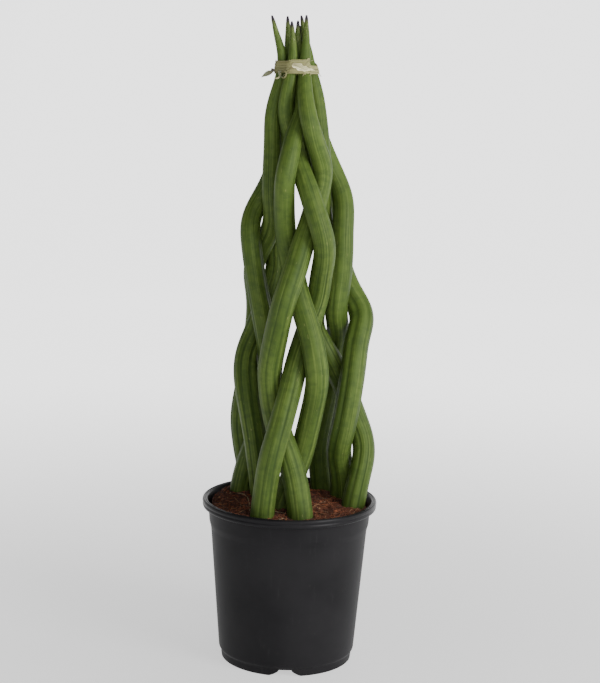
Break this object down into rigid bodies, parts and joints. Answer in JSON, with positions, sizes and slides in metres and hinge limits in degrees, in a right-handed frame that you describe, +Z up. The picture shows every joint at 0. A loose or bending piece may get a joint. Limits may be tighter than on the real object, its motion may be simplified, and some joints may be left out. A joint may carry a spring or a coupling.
{
  "type": "braided cylindrical snake plant in a pot",
  "caption": "Cylindrical snake plant: round tapering leaves plaited in threes and tied with raffia near their tips, standing in soil in a round nursery pot.",
  "frame": {"origin": "centre of the pot's foot, on the surface it stands on", "axes": "+Z up along the pot's axis, -Y towards the viewer of the front plait, +X to that viewer's right"},
  "size_m": [0.171, 0.171, 0.6242],
  "materials": {
    "pot": "thin charcoal moulded plastic, matt with a soft sheen on the rolled rim",
    "soil": "loose red-brown coir fibre and peat, dry and matt",
    "leaf": "waxy olive green skin with long darker grooves, faint grey-green cross bands and dry brown tips",
    "raffia": "dry pale straw fibre, split along its length"
  },
  "bodies": {
    "root": {"pot": "pot", "soil": "soil", "leaf_front_left": "leaf", "leaf_front_right": "leaf", "leaf_front_middle": "leaf", "leaf_left_back": "leaf", "leaf_left_outer": "leaf", "leaf_left_front": "leaf", "leaf_right_front": "leaf", "leaf_right_back": "leaf", "leaf_right_outer": "leaf", "raffia_tie": "raffia"}
  },
  "joints": []
}
